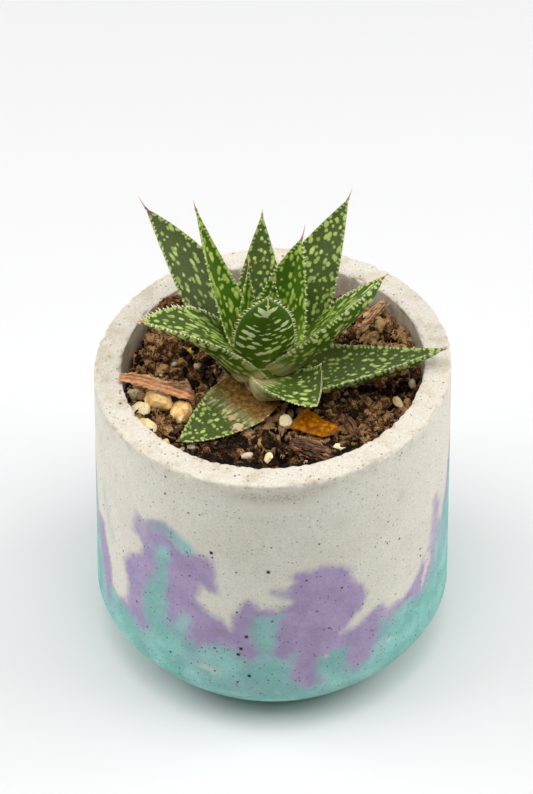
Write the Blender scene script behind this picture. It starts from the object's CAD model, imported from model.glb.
"""The looks of a potted gasteraloe: thirteen spotted leaves in a marbled concrete pot.

The file goes through the object as it is put together: pot, compost, stem, leaves, then what
lies loose on the compost. The object's sizes are millimetres, and MM turns them to metres where a
mesh is written; the studio's are metres. A piece that replaces a solid of the frame repeats that
solid's own sizes.
"""
import math
import random
from collections import namedtuple

import bpy
import numpy as np
from mathutils import Euler, Matrix, Vector, noise


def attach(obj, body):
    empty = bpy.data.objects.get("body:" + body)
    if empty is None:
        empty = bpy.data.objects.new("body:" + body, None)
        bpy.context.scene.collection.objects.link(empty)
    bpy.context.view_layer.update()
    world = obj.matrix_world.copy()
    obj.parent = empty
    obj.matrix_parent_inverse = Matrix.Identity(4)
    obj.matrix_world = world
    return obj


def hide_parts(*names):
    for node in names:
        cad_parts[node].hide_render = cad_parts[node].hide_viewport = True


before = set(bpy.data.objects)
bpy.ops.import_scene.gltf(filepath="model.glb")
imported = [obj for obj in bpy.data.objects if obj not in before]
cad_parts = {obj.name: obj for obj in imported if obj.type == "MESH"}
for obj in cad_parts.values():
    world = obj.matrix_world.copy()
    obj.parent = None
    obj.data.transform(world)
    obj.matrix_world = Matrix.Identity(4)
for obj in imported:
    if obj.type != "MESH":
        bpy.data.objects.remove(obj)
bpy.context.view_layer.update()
MM = 0.001

# The studio. A plain white table under soft light from above and from both sides, and the camera,
# which looks down on the pot at 43 degrees from 0.77 m away. None of this is part of the object.
CAMERA_PLACE = (0.0, -0.5238, 0.55833)
CAMERA_TURN = (47.3122, 0.0766, 0.0948)
CAMERA_LENS = 126.95
TABLE_SIZE = 8.0
TABLE_GAP = 0.1 * MM         # left between the table and the pot's foot


def in_degrees(turns):
    """Turns about X, Y and Z that are given in degrees."""
    return Euler([math.radians(turn) for turn in turns])


def added(name, primitive, **settings):
    """Add one of Blender's primitives with all else deselected, and name it."""
    bpy.ops.object.select_all(action="DESELECT")
    primitive(**settings)
    bpy.context.object.name = name
    return bpy.context.object


camera_data = bpy.data.cameras.new("camera")
camera_data.lens = CAMERA_LENS
camera_data.sensor_width = 36
camera = bpy.data.objects.new("camera", camera_data)
camera.location = CAMERA_PLACE
camera.rotation_euler = in_degrees(CAMERA_TURN)
bpy.context.scene.collection.objects.link(camera)
bpy.context.scene.camera = camera
bpy.context.scene.view_settings.view_transform = "Standard"


class Wire:
    """A value in a material: sums written with it add the Math nodes that work them out."""

    def __init__(self, finish, socket):
        self.finish = finish
        self.socket = socket

    def math(self, operation, *values):
        return self.finish.node("Math", {"operation": operation}, dict(enumerate(values)))

    def __add__(self, other):
        return self.math("ADD", self, other)

    def __radd__(self, other):
        return self.math("ADD", other, self)

    def __sub__(self, other):
        return self.math("SUBTRACT", self, other)

    def __rsub__(self, other):
        return self.math("SUBTRACT", other, self)

    def __mul__(self, other):
        return self.math("MULTIPLY", self, other)

    def __rmul__(self, other):
        return self.math("MULTIPLY", other, self)

    def least(self, other):
        return self.math("MINIMUM", self, other)

    def most(self, other):
        return self.math("MAXIMUM", self, other)

    def rise(self, low, high):
        """0 below low and 1 above high, with a smooth step between. low may be the greater."""
        return self.finish.node("MapRange", {"interpolation_type": "SMOOTHSTEP"},
                                {"Value": self, "From Min": low, "From Max": high})


class Finish:
    """A material on one shader. Its methods add nodes and give back values to calculate with."""

    def __init__(self, name, constants=None):
        self.material = bpy.data.materials.new(name)
        self.material.use_nodes = True
        self.tree = self.material.node_tree
        self.shader = self.tree.nodes["Principled BSDF"]
        for socket, value in (constants or {}).items():
            self.feed(socket, value)

    def connect(self, socket, value):
        if isinstance(value, Wire):
            self.tree.links.new(value.socket, socket)
        elif socket.type == "RGBA":
            socket.default_value = (*value, 1.0)
        else:
            socket.default_value = value

    def feed(self, socket, value):
        """Give one socket of the shader its value or its pattern."""
        self.connect(self.shader.inputs[socket], value)

    def node(self, kind, settings=None, inputs=None, output=0):
        """Add any node: its settings are made first, then its inputs are set or linked."""
        node = self.tree.nodes.new("ShaderNode" + kind)
        for name, value in (settings or {}).items():
            if name == "stops":
                stops = node.color_ramp.elements
                stops.remove(stops[1])
                for place, colour in value:
                    stop = stops.new(place)
                    stop.color = (*colour, 1.0)
                stops.remove(stops[0])
            else:
                setattr(node, name, value)
        for name, value in (inputs or {}).items():
            self.connect(node.inputs[name], value)
        return Wire(self, node.outputs[output])

    def place(self):
        """The point on the object, in millimetres."""
        point = self.node("TexCoord", output="Object")
        return self.node("VectorMath", {"operation": "SCALE"}, {0: point, "Scale": 1 / MM})

    def attribute(self, name):
        return self.node("Attribute", {"attribute_name": name}, output="Fac")

    def stretched(self, point, factors):
        return self.node("VectorMath", {"operation": "MULTIPLY"}, {0: point, 1: factors})

    def mottle(self, point, size, detail=3.0, roughness=0.55):
        """Smooth noise from 0 to 1, whose patches are about size across."""
        return self.node("TexNoise", None, {"Vector": point, "Scale": 1 / size,
                                            "Detail": detail, "Roughness": roughness})

    def dots(self, point, spacing, radius, share):
        """1 in round dots up to radius across, one in each patch of spacing, in a share of them."""
        settings = {"feature": "F1"}
        inputs = {"Vector": point, "Scale": 1 / spacing}
        away = self.node("TexVoronoi", settings, inputs, "Distance") * spacing
        draw = self.node("SeparateColor", None,
                         {0: self.node("TexVoronoi", settings, inputs, "Color")})
        reach = (draw - (1 - share)) * (radius / share)
        return (reach - away).rise(0.0, 0.3 * radius)

    def mix(self, factor, first, second):
        return self.node("Mix", {"data_type": "RGBA"}, {0: factor, 6: first, 7: second}, 2)

    def ramp(self, factor, stops):
        return self.node("ValToRGB", {"stops": stops}, {0: factor})

    def bump(self, height, depth):
        """Feed the relief: height from 0 to 1 stands for a depth in millimetres."""
        self.feed("Normal", self.node("Bump", None, {"Strength": 1.0, "Distance": depth * MM,
                                                     "Height": height}))


table_white = Finish("table_white", {"Base Color": (0.76, 0.76, 0.76), "Roughness": 0.6,
                                     "Specular IOR Level": 0.2})
grain = table_white.mottle(table_white.place(), 260.0, 2.0)
table_white.feed("Base Color", table_white.mix(grain, (0.75, 0.75, 0.753), (0.762, 0.76, 0.76)))

table = added("table", bpy.ops.mesh.primitive_plane_add, size=TABLE_SIZE, location=(0, 0, -TABLE_GAP))
table.data.materials.append(table_white.material)

# A pale room all round, brighter behind the pot than where the photographer stands.
ROOM_LIGHT = 0.276
ROOM_BACK = 0.216            # how much brighter it is at the back than at the sides
POT_MIDDLE = (0.0, 0.0, 0.07)
world = bpy.data.worlds.new("studio")
world.use_nodes = True
room = world.node_tree
background = room.nodes["Background"]
background.inputs["Color"].default_value = (0.985, 0.99, 1.0, 1.0)
direction = room.nodes.new("ShaderNodeTexCoord")
parts = room.nodes.new("ShaderNodeSeparateXYZ")
strength = room.nodes.new("ShaderNodeMath")
strength.operation = "MULTIPLY_ADD"
strength.inputs[1].default_value = ROOM_BACK
strength.inputs[2].default_value = ROOM_LIGHT
room.links.new(direction.outputs["Generated"], parts.inputs[0])
room.links.new(parts.outputs["Y"], strength.inputs[0])
room.links.new(strength.outputs[0], background.inputs["Strength"])
bpy.context.scene.world = world


def soft_light(name, place, size, power):
    """A square soft box at place, turned to face the middle of the pot."""
    data = bpy.data.lights.new(name, "AREA")
    data.size = size
    data.energy = power
    light = bpy.data.objects.new(name, data)
    light.location = place
    light.rotation_euler = (Vector(place) - Vector(POT_MIDDLE)).to_track_quat("Z", "Y").to_euler()
    bpy.context.scene.collection.objects.link(light)


soft_light("light_above", (0.0, -0.22, 1.15), 0.7, 6.9)
soft_light("light_left", (-0.85, 0.0, 0.75), 0.8, 6.8)
soft_light("light_right", (0.85, 0.0, 0.75), 0.8, 7.2)

# The pot. It is cast in white concrete over a swirl of mint and lilac pigment that ran down the
# mould, then sanded flat on the rim. The rim plane leans up a little to the right, its edges are
# worn and chipped, and small air bubbles show as pinholes all over.
RIM_RADIUS = 45.0
RIM_HEIGHT = 87.3
RIM_LEAN = 0.043
RIM_EASE = 0.5
CAVITY_RADIUS = 38.1
BELLY_RADIUS = 47.0
BELLY_HEIGHT = 14.7
FOOT_RADIUS = 36.1
BELLY_ROUNDNESS = 1.19
FLOOR_THICKNESS = 10.0
POT_STEPS = 420
WALL_STEP = 0.75
SOIL_DEPTH_SHOWN = 22.0      # how far below the rim the inner wall is finely stepped
DEGREE = math.pi / 180 * BELLY_RADIUS        # length of a degree round the wall, in millimetres
FAR_OUTSIDE = -99.0          # stands for a place that no outline is near

# The marbling's outlines are points of degrees round from the front and millimetres up.
PIGMENT_TOP = (
    (-77, 45.8), (-70, 47.3), (-68, 42), (-65, 36.5), (-63, 28.8), (-59, 27.4), (-54, 29), (-53, 36),
    (-56, 43), (-54, 46.5), (-51, 48.9), (-48, 49.5), (-46, 51.3), (-45, 55.2), (-47, 57.3), (-50, 58),
    (-50, 60), (-48, 65.4), (-45, 64.1), (-39, 67.1), (-35, 67.6), (-31, 65.6), (-28, 64.5), (-24, 61.7),
    (-20, 60.7), (-18, 56), (-17, 49), (-20, 49.6), (-23, 50.8), (-24, 45), (-21, 42), (-16, 40),
    (-13, 36.6), (-12, 42), (-9, 47.8), (-6.5, 48.3), (-4, 45.3), (2, 45.5), (5, 46.6), (6, 48),
    (0, 51.2), (5, 52.5), (7, 54.5), (5.5, 56.7), (7, 58), (12, 57.6), (17, 58.5), (23, 56.3),
    (25, 54.6), (25.5, 51.9), (29, 47.6), (31, 44.3), (29, 40.5), (25, 36.9), (22, 33.6), (28, 34.4),
    (33, 36.8), (37, 37.4), (38, 34.8), (45, 34.4), (50, 36.3), (55, 40.1), (60, 44.4), (61.5, 49),
    (62.5, 58), (65, 58), (68, 54.1), (66, 48), (70, 47.4), (74, 51.9),
)
PIGMENT_SIDE = ((79, 62), (85, 68), (91, 64), (98, 60))      # between the front and its like behind
PIGMENT_SIDE_LEFT = ((-99, 48), (-93, 60), (-87, 66), (-82, 58))
LILAC = {
    "sliver": ((-84, 62), (-78, 47), (-70, 47.3), (-68, 42), (-65, 36.5), (-64, 27), (-67, 19.9),
               (-70, 26), (-74, 34.7), (-80, 44)),
    "left_lobe": ((-54, 28), (-53, 36), (-56, 43), (-54, 48), (-48, 50.5), (-45, 56), (-39, 57.4),
                  (-40, 49), (-43, 43.7), (-46, 38), (-45.5, 32), (-44, 25.5), (-45, 23.9), (-51, 25.6),
                  (-57, 27.1)),
    "peak": ((-45, 55), (-48, 57), (-51, 58.5), (-51, 61), (-48, 67), (-43, 66), (-38, 68.5), (-31, 67),
             (-25, 63.5), (-19, 61.5), (-16.5, 56), (-16, 48.5), (-22, 51.5), (-25, 45), (-20, 40.5),
             (-15, 38.5), (-12.5, 36), (-11, 43), (-8, 49), (-4, 45.8), (1, 46), (2, 43.7), (-2, 43),
             (-6, 42.7), (-7.5, 39), (-7, 34.1), (-5, 31), (-5, 28.2), (-7.5, 26), (-11, 29.1),
             (-15, 31), (-20, 29), (-25, 28.3), (-28, 30.7), (-27, 38), (-30, 37.1), (-33, 32.7),
             (-35, 32.5), (-36, 42), (-35, 52), (-34, 60), (-37, 59.5), (-39, 57.4)),
    "cloud": ((3, 45.3), (6, 48), (-1, 51), (5, 53.5), (5, 58), (12, 59), (17, 59.5), (24, 57.5),
              (26.5, 52.5), (31.5, 45), (30, 40.5), (23, 32.8), (28, 33.6), (33, 37), (37.5, 38.4),
              (38, 33), (36, 29.7), (35, 25), (32, 20.5), (27, 18), (24, 21.5), (24, 26.5), (20, 28.2),
              (16, 27), (14, 24), (15, 17.5), (11, 16.4), (7, 17.5), (6, 21), (7, 28.8), (3, 27.6),
              (0, 28.5), (1, 34.4), (2, 40)),
    "right_edge": ((37.5, 36), (45, 35.4), (51, 37.4), (56, 41.5), (60, 46), (61.5, 59), (66, 59),
                   (68.5, 54), (67, 47), (63, 36), (58, 32.5), (54, 30.8), (47, 32.8), (42, 32.6),
                   (39, 29.8), (37, 32.6)),
    "right_sliver": ((70.5, 51), (75, 58), (80, 66), (88, 72), (88, 64), (81, 57), (76, 49)),
}
BLUE_FRINGE = ((-44, 63.9), (-39, 68.5), (-34, 68.5), (-28, 65.5), (-23, 62.5), (-24.5, 60.8),
               (-28.5, 59.4), (-33, 62.3), (-38, 63.8))
CREAM_STREAK = ((58, 43.1), (62, 41.6), (61, 38.1), (58, 34.7), (56, 31.9), (56, 35), (57, 39))
OUTLINE_REACH = 8.0          # how far from an outline its distance is still worked out
PINHOLE_COUNT = 110
PINHOLE_INSET = 0.08
PINHOLE_DEPTH = 0.35
PINHOLE_STAIN = 1.1          # radius of the dark ring round a wide one
WIDE_PINHOLES = 6            # how many of those that show are wide
NICKS = 80
PINHOLES = (                 # those that show: degrees round, millimetres up
    (-1, 58.4), (-19, 63.2), (-8, 35), (-10, 30.8), (-11, 28.7), (-7, 20.7), (9, 52.5), (-28, 60.7),
    (-10, 42.3), (-14, 29), (24, 49), (17, 46), (26, 39), (-30, 52), (-36, 70), (14, 74), (40, 58),
    (-24, 26), (3, 24), (33, 30),
)

# Marks on the wall: degrees round, millimetres up, half width and half height, and strength.
SMUDGES = ((-6, 84, 6, 1.8, 1.0), (3, 83.4, 10, 2.2, 1.0), (14, 85, 6, 1.2, 0.8), (22, 72, 3.5, 2, 0.3),
           (45, 71, 1.6, 2.6, 0.4), (-17, 36, 1.6, 0.8, 1.0), (160, 82, 12, 3, 0.8), (-120, 80, 8, 3, 0.6),
           (-12, 11, 3.0, 0.6, 0.9), (100, 40, 5, 4, 0.4))
VEILS = ((-69, 57.7, 1.6, 5, 0.9), (-66, 52.3, 1.5, 5, 0.9), (-63, 48, 1.4, 4, 0.7), (70, 44, 4, 9, 1.0),
         (75, 36, 4, 6, 0.8), (66, 33, 4, 4, 0.6), (-10, 17, 9, 4, 0.6), (-24, 23, 6, 4, 0.6),
         (10, 14, 8, 3, 0.5), (-32, 45, 3, 8, 0.5), (-2, 36, 3, 6, 0.3), (-150, 30, 9, 8, 0.7))
THIN_PAINT = ((62, 52, 4, 12, 0.9), (-76, 52, 5, 12, 0.7), (3, 50, 3, 2, 0.6), (-46, 62, 3, 4, 0.5),
              (31, 54, 2.5, 3, 0.6), (40, 33, 3, 2, 0.4), (118, 50, 4, 12, 0.8))
CHALK = ((-21, 21.2, 2.2, 1.0, 1.0), (-19, 20.4, 1.6, 0.8, 0.8), (-33, 19.5, 0.5, 0.4, 1.0),
         (40, 23.1, 0.8, 0.5, 0.7), (17, 26.5, 0.9, 0.8, 0.8), (150, 18, 2.5, 1.0, 0.8))


def around_back(outline):
    """An outline's like on the far side: mirrored, a little wider and lower."""
    return [(180 - 1.04 * angle, 3 + 0.92 * height) for angle, height in outline]


def inside_by(across, up, outline):
    """How far each point is inside a closed outline of degrees and millimetres, below 0 outside."""
    nearest = np.full(across.shape, np.inf)
    inside = np.zeros(across.shape, bool)
    corners = [(angle * DEGREE, height) for angle, height in outline]
    for (ax, ay), (bx, by) in zip(corners, corners[1:] + corners[:1]):
        run, climb = bx - ax, by - ay
        share = ((across - ax) * run + (up - ay) * climb) / (run ** 2 + climb ** 2)
        share = np.clip(share, 0, 1)
        nearest = np.minimum(nearest, np.hypot(across - ax - share * run, up - ay - share * climb))
        if climb:
            inside ^= ((ay > up) != (by > up)) & (across < ax + (up - ay) / climb * run)
    return np.where(inside, nearest, -nearest)


def inside_any(across, up, outlines):
    """The same for several outlines and their likes a turn to each side."""
    depth = np.full(across.shape, FAR_OUTSIDE)
    for outline in outlines:
        for turn in (-360, 0, 360):
            turned = [(angle + turn, height) for angle, height in outline]
            low = min(angle for angle, _ in turned) * DEGREE - OUTLINE_REACH
            high = max(angle for angle, _ in turned) * DEGREE + OUTLINE_REACH
            near = (across > low) & (across < high)
            if near.any():
                depth[near] = np.maximum(depth[near], inside_by(across[near], up[near], turned))
    return depth


def add_attribute(obj, name, values):
    """Keep one number for each point of a mesh, for its material to read."""
    attribute = obj.data.attributes.new(name, "FLOAT", "POINT")
    attribute.data.foreach_set("value", np.asarray(values, np.float32))


def points_of(obj):
    """The mesh's points as rows of x, y and z, in millimetres."""
    points = np.empty(len(obj.data.vertices) * 3)
    obj.data.vertices.foreach_get("co", points)
    return points.reshape(-1, 3) / MM


def move_points(obj, points):
    obj.data.vertices.foreach_set("co", np.ravel(points) * MM)
    obj.data.update()


def pot_profile():
    """Radius and height of the wall's outline, from the middle of the foot round to the floor."""
    outline = [(0.0, 0.0), (12.0, 0.0), (24.0, 0.0)]
    curve_steps = 30
    for step in range(curve_steps + 1):
        angle = math.pi / 2 * (1 - step / curve_steps)
        across = max(math.cos(angle), 0.0) ** (2 / BELLY_ROUNDNESS)
        down = max(math.sin(angle), 0.0) ** (2 / BELLY_ROUNDNESS)
        outline.append((FOOT_RADIUS + (BELLY_RADIUS - FOOT_RADIUS) * across,
                        BELLY_HEIGHT * (1 - down)))
    top = RIM_HEIGHT - RIM_EASE
    for height in np.arange(BELLY_HEIGHT + WALL_STEP, top - 0.4, WALL_STEP):
        share = (height - BELLY_HEIGHT) / (top - BELLY_HEIGHT)
        outline.append((BELLY_RADIUS + (RIM_RADIUS - BELLY_RADIUS) * share, height))
    for angle in np.linspace(0, math.pi / 2, 5):
        outline.append((RIM_RADIUS - RIM_EASE + RIM_EASE * math.cos(angle),
                        top + RIM_EASE * math.sin(angle)))
    outer, inner = RIM_RADIUS - RIM_EASE, CAVITY_RADIUS + RIM_EASE
    outline += [(radius, RIM_HEIGHT) for radius in np.linspace(outer, inner, 11)[1:-1]]
    for angle in np.linspace(math.pi / 2, 0, 5):
        outline.append((inner - RIM_EASE * math.cos(angle), top + RIM_EASE * math.sin(angle)))
    outline += [(CAVITY_RADIUS, height) for height in np.arange(top - 0.9, top - SOIL_DEPTH_SHOWN, -0.9)]
    return outline + [(CAVITY_RADIUS, 30.0), (CAVITY_RADIUS, FLOOR_THICKNESS), (0.0, FLOOR_THICKNESS)]


def turned_piece(name, profile, steps):
    """Draw a profile of radius and height point by point, then spin it round the upright axis."""
    obj = added(name, bpy.ops.mesh.primitive_plane_add, size=MM)
    bpy.ops.object.mode_set(mode="EDIT")
    bpy.ops.mesh.select_mode(type="VERT")
    bpy.ops.mesh.select_all(action="SELECT")
    bpy.ops.mesh.merge(type="CENTER")
    bpy.ops.transform.translate(value=(profile[0][0] * MM, 0, profile[0][1] * MM))
    last = profile[0]
    for radius, height in profile[1:]:
        step = ((radius - last[0]) * MM, 0.0, (height - last[1]) * MM)
        bpy.ops.mesh.extrude_region_move(TRANSFORM_OT_translate={"value": step})
        last = (radius, height)
    bpy.ops.mesh.select_all(action="SELECT")
    bpy.ops.mesh.spin(steps=steps, angle=2 * math.pi, center=(0, 0, 0), axis=(0, 0, 1))
    bpy.ops.mesh.select_all(action="SELECT")
    bpy.ops.mesh.remove_doubles(threshold=0.004 * MM)
    bpy.ops.mesh.normals_make_consistent(inside=False)
    bpy.ops.object.mode_set(mode="OBJECT")
    bpy.ops.object.shade_smooth()
    return obj


def rough(points, size, seed=0.0):
    """Smooth noise from -1 to 1 at each row of points, with patches about size across."""
    shift = Vector((seed, 2 * seed, -seed))
    return np.array([noise.noise(Vector(point) / size + shift) for point in points])


pot = turned_piece("concrete_pot", pot_profile(), POT_STEPS)

# Pinholes that show from a step away are real pits: a face is inset and pushed into the wall.
draw = random.Random(4)
pits = list(PINHOLES)
while len(pits) < PINHOLE_COUNT:
    pits.append((draw.uniform(-180, 180), draw.uniform(6, 84)))
centres = np.array([face.center for face in pot.data.polygons]) / MM
face_angle = np.degrees(np.arctan2(centres[:, 0], -centres[:, 1]))
outside = np.hypot(centres[:, 0], centres[:, 1]) > RIM_RADIUS - 0.2
bpy.ops.object.mode_set(mode="EDIT")
bpy.ops.mesh.select_mode(type="FACE")
bpy.ops.mesh.select_all(action="DESELECT")
bpy.ops.object.mode_set(mode="OBJECT")
wide_pits = []
for number, (angle, height) in enumerate(pits):
    away = np.hypot((face_angle - angle) * DEGREE, centres[:, 2] - height)
    nearest = int(np.argmin(np.where(outside, away, np.inf)))
    pot.data.polygons[nearest].select = True
    if number < WIDE_PINHOLES:
        wide_pits.append(centres[nearest])
bpy.ops.object.mode_set(mode="EDIT")
bpy.ops.mesh.inset(thickness=PINHOLE_INSET * MM, use_individual=True)
bpy.ops.object.mode_set(mode="OBJECT")
before = len(pot.data.vertices)
bpy.ops.object.mode_set(mode="EDIT")
bpy.ops.mesh.poke(offset=-PINHOLE_DEPTH * MM)
bpy.ops.object.mode_set(mode="OBJECT")
pit = np.zeros(len(pot.data.vertices))
pit[before:] = 1.0
for centre in wide_pits:
    pit = np.maximum(pit, 1 - np.linalg.norm(points_of(pot) - centre, axis=1) / PINHOLE_STAIN)

spots = points_of(pot)
radius = np.hypot(spots[:, 0], spots[:, 1])
across = np.degrees(np.arctan2(spots[:, 0], -spots[:, 1])) * DEGREE
up = spots[:, 2].copy()
outer_wall = (radius > FOOT_RADIUS - 0.1) & ((radius > RIM_RADIUS - 0.6) | (up < BELLY_HEIGHT))

back = around_back(PIGMENT_TOP)[::-1]
round_top = [*PIGMENT_TOP, *PIGMENT_SIDE, *back, *((a + 360, h) for a, h in PIGMENT_SIDE_LEFT)]
full_top = [(angle + turn, height) for turn in (-360, 0) for angle, height in round_top
            if -200 < angle + turn < 200]
x, y = across[outer_wall], up[outer_wall]


def on_wall(outlines):
    """How far each point of the wall is inside any of these outlines or of their likes behind."""
    depth = np.full(len(spots), FAR_OUTSIDE)
    depth[outer_wall] = inside_any(x, y, outlines + [around_back(outline) for outline in outlines])
    return depth


pigment = np.full(len(spots), FAR_OUTSIDE)
pigment[outer_wall] = inside_by(x, y, [*full_top, (full_top[-1][0], -40), (full_top[0][0], -40)])
lilac_rim = 2.2 * np.clip(1 - np.abs(pigment) / 2.5, 0, 1)
inner_wall = (radius < CAVITY_RADIUS + 0.05) & (up > FLOOR_THICKNESS)
rim_edge = np.minimum(np.hypot(radius - RIM_RADIUS, up - RIM_HEIGHT),
                      np.hypot(radius - CAVITY_RADIUS, up - RIM_HEIGHT))
rim_top = (radius > CAVITY_RADIUS + 0.3) & (up > RIM_HEIGHT - 0.2)
lilac = on_wall(list(LILAC.values())) + lilac_rim
for name, values in (("pit", pit), ("pigment", pigment), ("lilac", lilac),
                     ("fringe", on_wall([BLUE_FRINGE])), ("streak", on_wall([CREAM_STREAK])),
                     ("inner", inner_wall), ("rim_edge", rim_edge), ("rim_top", rim_top),
                     ("below_rim", RIM_HEIGHT - up)):
    add_attribute(pot, name, values)
for name, marks in (("smudge", SMUDGES), ("veil", VEILS), ("chalk", CHALK), ("thin", THIN_PAINT)):
    strength_of = np.zeros(len(spots))
    for angle, height, wide, tall, share in marks:
        away = ((across - angle * DEGREE) / wide) ** 2 + ((up - height) / tall) ** 2
        strength_of = np.maximum(strength_of, np.where(radius > RIM_RADIUS - 0.6, share * np.exp(-away), 0))
    add_attribute(pot, name, strength_of)

# The cast is not quite true, and the rim's two edges are worn uneven and nicked.
outward = np.stack([spots[:, 0], spots[:, 1], np.zeros(len(spots))], 1) / np.maximum(radius, 1)[:, None]
near_edge = np.exp(-(rim_edge / 0.9) ** 2)
worn = np.zeros(len(spots))
edges = near_edge > 0.02
worn[edges] = 0.26 * rough(spots[edges], 1.3) + 0.16 * rough(spots[edges], 4.5, 7.0)
wave = 0.05 * rough(spots, 9.0, 3.0)
for _ in range(NICKS):
    angle = draw.uniform(-math.pi, math.pi)
    reach = draw.uniform(0.5, 1.5)
    edge_radius = draw.choice((RIM_RADIUS, CAVITY_RADIUS))
    nick = np.array([edge_radius * math.sin(angle), -edge_radius * math.cos(angle), RIM_HEIGHT])
    away = np.linalg.norm(spots - nick, axis=1)
    worn -= 0.35 * reach * np.clip(1 - away / reach, 0, 1)
toward_wall = np.where(radius < (RIM_RADIUS + CAVITY_RADIUS) / 2, -1.0, 1.0)
shift = near_edge * worn * 0.8
spots += outward * (toward_wall * shift + np.where(outer_wall, wave - 0.05, 0))[:, None]
spots[:, 2] += near_edge * np.minimum(worn, 0.05) + np.where(rim_top, wave, 0)
share = np.clip((up - BELLY_HEIGHT) / (RIM_HEIGHT - BELLY_HEIGHT), 0, None)
spots[:, 2] += RIM_LEAN * spots[:, 0] * share
spots[up == 0, 2] = 0.0
move_points(pot, spots)

CREAM = (0.79, 0.757, 0.66)
CREAM_DEEP = (0.735, 0.70, 0.60)
RIM_CREAM = (0.685, 0.635, 0.545)
RIM_TAN = (0.585, 0.505, 0.385)
MINT = (0.205, 0.505, 0.445)
MINT_PALE = (0.32, 0.665, 0.60)
LILAC_COLOUR = (0.46, 0.34, 0.555)
LILAC_DEEP = (0.375, 0.27, 0.475)
BLUE_MIX = (0.32, 0.39, 0.44)
SPECK = (0.13, 0.10, 0.075)
DIRT = (0.31, 0.265, 0.18)
RIM_STAIN = (0.43, 0.30, 0.17)
INNER_CREAM = (0.73, 0.675, 0.575)
INNER_TAN = (0.61, 0.51, 0.39)
WET = (0.32, 0.23, 0.15)

concrete = Finish("marbled_concrete", {"Specular IOR Level": 0.3})
at = concrete.place()
swirl = concrete.mottle(concrete.stretched(at, (1.0, 1.0, 0.6)), 7.0, 4.0)
sand = concrete.mottle(at, 0.55, 3.0, 0.75)
feather = concrete.mottle(concrete.stretched(at, (1.0, 1.0, 0.7)), 2.2, 5.0, 0.7)
edge_wobble = (swirl - 0.5) * 3.0 + (feather - 0.5) * 5.0 + (sand - 0.5) * 3.0
coloured = (concrete.attribute("pigment") + edge_wobble).rise(-1.7, 1.7)
soft_wobble = (concrete.mottle(at, 4.0, 5.0, 0.7) - 0.5) * 5.0 + (feather - 0.5) * 5.0 + (sand - 0.5) * 3.5
is_lilac = (concrete.attribute("lilac") + soft_wobble).rise(-2.4, 2.2)
haze = (concrete.attribute("lilac") + (swirl - 0.5) * 9.0).rise(-7.0, 1.5) * 0.30
veil = concrete.attribute("veil") * (feather + 0.5)
is_fringe = (concrete.attribute("fringe") + edge_wobble).rise(-1.2, 1.0)
is_streak = (concrete.attribute("streak") + edge_wobble).rise(-0.8, 0.8)
cream = concrete.mix(concrete.mottle(at, 16.0, 4.0).rise(0.35, 0.7), CREAM, CREAM_DEEP)
mint = concrete.mix(concrete.mottle(at, 9.0, 4.0).rise(0.35, 0.7), MINT, MINT_PALE)
lilac_paint = concrete.mix(concrete.mottle(at, 6.0, 3.0).rise(0.3, 0.7), LILAC_DEEP, LILAC_COLOUR)
wall = concrete.mix(is_lilac.most(haze).most(veil * 0.45).least(0.93), mint, lilac_paint)
rightward = concrete.node("SeparateXYZ", None, {0: at})
fringe_paint = concrete.mix(rightward.rise(-29.0, -20.0), BLUE_MIX, MINT_PALE)
wall = concrete.mix(is_fringe * 0.8, wall, fringe_paint)
tinted = concrete.mix(veil * 0.5, cream, (0.467, 0.517, 0.55))
thin = concrete.attribute("thin") * (feather + 0.3)
wall = concrete.mix(coloured * (1 - thin * 0.6), tinted, wall)
wall = concrete.mix(is_streak * 0.7, wall, CREAM)
wall = concrete.mix(concrete.attribute("chalk") * feather * 1.3, wall, (0.74, 0.70, 0.65))
depth = concrete.attribute("below_rim")
top = concrete.attribute("rim_top").rise(0.2, 0.8)
inside = concrete.attribute("inner").rise(0.2, 0.8)
dirt = depth.rise(6.0, 0.3) * concrete.mottle(at, 3.0, 3.0).rise(0.40, 0.75) * 0.3
dirt = dirt.most(concrete.attribute("smudge") * (sand - 0.36).most(0.0) * 3.2) * (1 - top)
wall = concrete.mix(dirt, wall, DIRT)

rim_paint = concrete.mix(concrete.mottle(at, 5.0, 5.0, 0.65).rise(0.45, 0.7), RIM_CREAM, RIM_TAN)
rim_stain = concrete.mottle(at, 2.2, 4.0).rise(0.54, 0.70)
rim_near = concrete.attribute("rim_edge").rise(1.8, 0.1)
wall = concrete.mix(top, wall, rim_paint)
wall = concrete.mix(rim_near * rim_stain * (1 - inside) * 0.6, wall, RIM_STAIN)

stained = concrete.mottle(concrete.stretched(at, (1.0, 1.0, 0.5)), 4.0, 5.0, 0.65)
inner_paint = concrete.mix(stained.rise(0.42, 0.72), INNER_CREAM, INNER_TAN)
wet = (depth + (stained - 0.5) * 9.0).rise(7.5, 12.0)
inner_paint = concrete.mix(wet * 0.4, inner_paint, WET)
edge_stain = depth.rise(1.6, 0.4) * stained.rise(0.4, 0.6) * 0.6
inner_paint = concrete.mix(edge_stain, inner_paint, (0.36, 0.24, 0.14))
wall = concrete.mix(inside, wall, inner_paint)

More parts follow.
